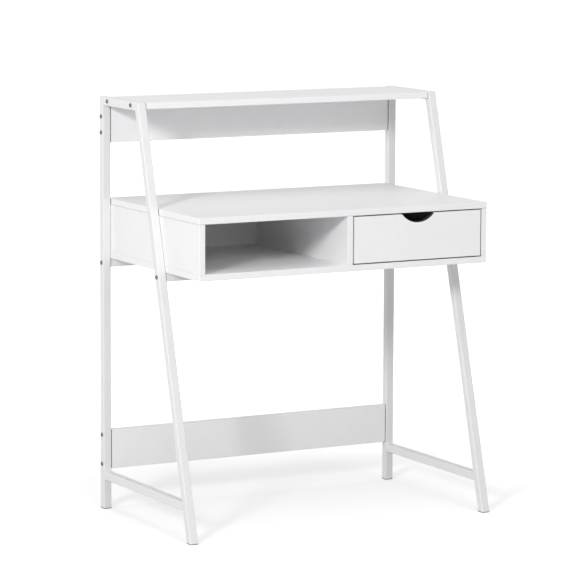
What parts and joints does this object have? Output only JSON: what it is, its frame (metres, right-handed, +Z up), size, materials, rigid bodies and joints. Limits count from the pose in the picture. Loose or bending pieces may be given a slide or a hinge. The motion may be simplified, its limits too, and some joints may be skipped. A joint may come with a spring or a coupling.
{
  "type": "ladder desk",
  "caption": "White desk on leaning ladder frames of square tube, with an open cubby, a drawer with a cut-out pull, a top shelf and back panels.",
  "frame": {"origin": "on the floor, under the middle of the desk's width and depth", "axes": "+X to the right as seen from the front, +Y towards the rear, +Z up; the drawer opens towards -Y"},
  "size_m": [0.8092, 0.482, 0.992],
  "materials": {
    "frame_paint": "satin white powder coat",
    "white_board": "white laminate on particle board",
    "hardboard": "white-faced hardboard",
    "white_plastic": "satin moulded plastic",
    "bolt_steel": "zinc-plated",
    "insert_steel": "zinc-plated",
    "cam_zinc": "die-cast zinc",
    "runner_steel": "white powder coat",
    "roller_nylon": "natural nylon",
    "dowel_wood": "beech"
  },
  "bodies": {
    "desk": {"left_rear_post": "frame_paint", "left_front_leg": "frame_paint", "left_top_rail": "frame_paint", "left_foot_rail": "frame_paint", "left_rear_foot": "white_plastic", "left_front_foot": "white_plastic", "left_cabinet_runner": "runner_steel", "right_rear_post": "frame_paint", "right_front_leg": "frame_paint", "right_top_rail": "frame_paint", "right_foot_rail": "frame_paint", "right_rear_foot": "white_plastic", "right_front_foot": "white_plastic", "right_cabinet_runner": "runner_steel", "rear_cross_rail": "frame_paint", "front_cross_rail": "frame_paint", "rail_end_plates": "frame_paint", "top_shelf": "white_board", "upper_back_panel": "white_board", "lower_back_panel": "white_board", "desk_top": "white_board", "box_bottom": "white_board", "box_left_side": "white_board", "box_divider": "white_board", "box_right_side": "white_board", "box_back": "white_board", "shelf_bolts": "bolt_steel", "upper_panel_bolts": "bolt_steel", "lower_panel_bolts": "bolt_steel", "cross_rail_bolts": "bolt_steel", "shelf_inserts": "insert_steel", "upper_panel_inserts": "insert_steel", "lower_panel_inserts": "insert_steel", "cross_rail_screws": "bolt_steel", "box_dowels": "dowel_wood", "box_cams": "cam_zinc", "box_cam_pins": "insert_steel", "box_screws": "bolt_steel", "cabinet_roller_pins": "insert_steel", "cabinet_runner_screws": "insert_steel"},
    "drawer": {"drawer_front": "white_board", "drawer_left_side": "white_board", "drawer_right_side": "white_board", "drawer_back": "white_board", "drawer_bottom": "hardboard", "left_drawer_runner": "runner_steel", "right_drawer_runner": "runner_steel", "drawer_cams": "cam_zinc", "drawer_cam_pins": "insert_steel", "drawer_dowels": "dowel_wood", "drawer_back_screws": "insert_steel", "drawer_bottom_screws": "insert_steel", "drawer_roller_pins": "insert_steel", "drawer_runner_screws": "insert_steel"},
    "left_cabinet_roller": {"left_cabinet_roller": "roller_nylon"},
    "right_cabinet_roller": {"right_cabinet_roller": "roller_nylon"},
    "left_drawer_roller": {"left_drawer_roller": "roller_nylon"},
    "right_drawer_roller": {"right_drawer_roller": "roller_nylon"}
  },
  "joints": [
    {"name": "drawer_slide", "type": "slide", "parent": "desk", "child": "drawer", "axis": [0, -1, 0], "range_m": [0, 0.29]},
    {"name": "left_cabinet_roller_spin", "type": "hinge", "parent": "desk", "child": "left_cabinet_roller", "pos_m": [0.0243, -0.2115, 0.64525], "axis": [1, 0, 0], "range_deg": [-10, 1914]},
    {"name": "right_cabinet_roller_spin", "type": "hinge", "parent": "desk", "child": "right_cabinet_roller", "pos_m": [0.3602, -0.2115, 0.64525], "axis": [1, 0, 0], "range_deg": [-10, 1914]},
    {"name": "left_drawer_roller_spin", "type": "hinge", "parent": "drawer", "child": "left_drawer_roller", "pos_m": [0.0243, 0.1625, 0.64505], "axis": [1, 0, 0], "range_deg": [-10, 1914]},
    {"name": "right_drawer_roller_spin", "type": "hinge", "parent": "drawer", "child": "right_drawer_roller", "pos_m": [0.3602, 0.1625, 0.64505], "axis": [1, 0, 0], "range_deg": [-10, 1914]}
  ],
  "couplings": [
    {"joint": "left_cabinet_roller_spin", "follows": "drawer_slide", "rad_per_m": 114.29},
    {"joint": "right_cabinet_roller_spin", "follows": "drawer_slide", "rad_per_m": 114.29},
    {"joint": "left_drawer_roller_spin", "follows": "drawer_slide", "rad_per_m": 114.29},
    {"joint": "right_drawer_roller_spin", "follows": "drawer_slide", "rad_per_m": 114.29}
  ]
}
